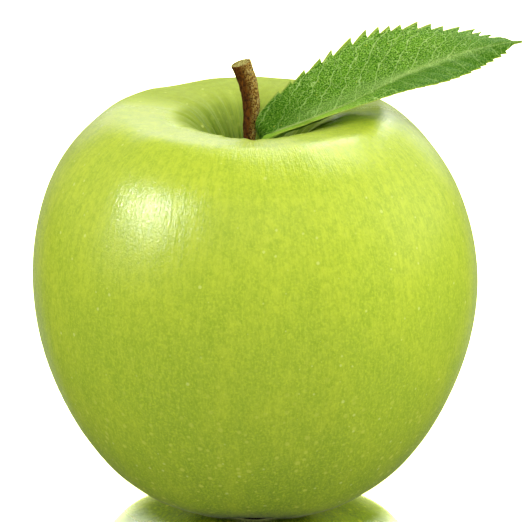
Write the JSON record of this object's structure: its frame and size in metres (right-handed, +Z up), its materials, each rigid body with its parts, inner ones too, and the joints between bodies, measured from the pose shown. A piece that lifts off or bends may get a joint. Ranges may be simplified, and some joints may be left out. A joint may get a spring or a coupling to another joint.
{
  "type": "green apple",
  "caption": "Whole green apple with a short woody stem and one serrated leaf lying over its shoulder, standing on its lobed base.",
  "frame": {"origin": "centre of the bottom of the whole object's box, in the plane that the apple rests on; the fruit's own axis stands about 4 mm to the -X side of it, because the leaf reaches out to +X", "axes": "+Z up along the fruit's core line, +X the way the leaf points, +Y to the back as the picture sees it"},
  "size_m": [0.0882, 0.08, 0.0869],
  "materials": {
    "skin": "smooth waxy fruit skin, yellow-green with fine pale dots, satin gloss",
    "bark": "rough brown bark with pale specks, paler on the cut end",
    "leaf": "green leaf, satin above with a fine net of pale veins, paler below",
    "dried_sepals": "dry, matt brown"
  },
  "bodies": {
    "root": {"fruit": "skin", "stem": "bark", "leaf": "leaf", "calyx": "dried_sepals"}
  },
  "joints": []
}
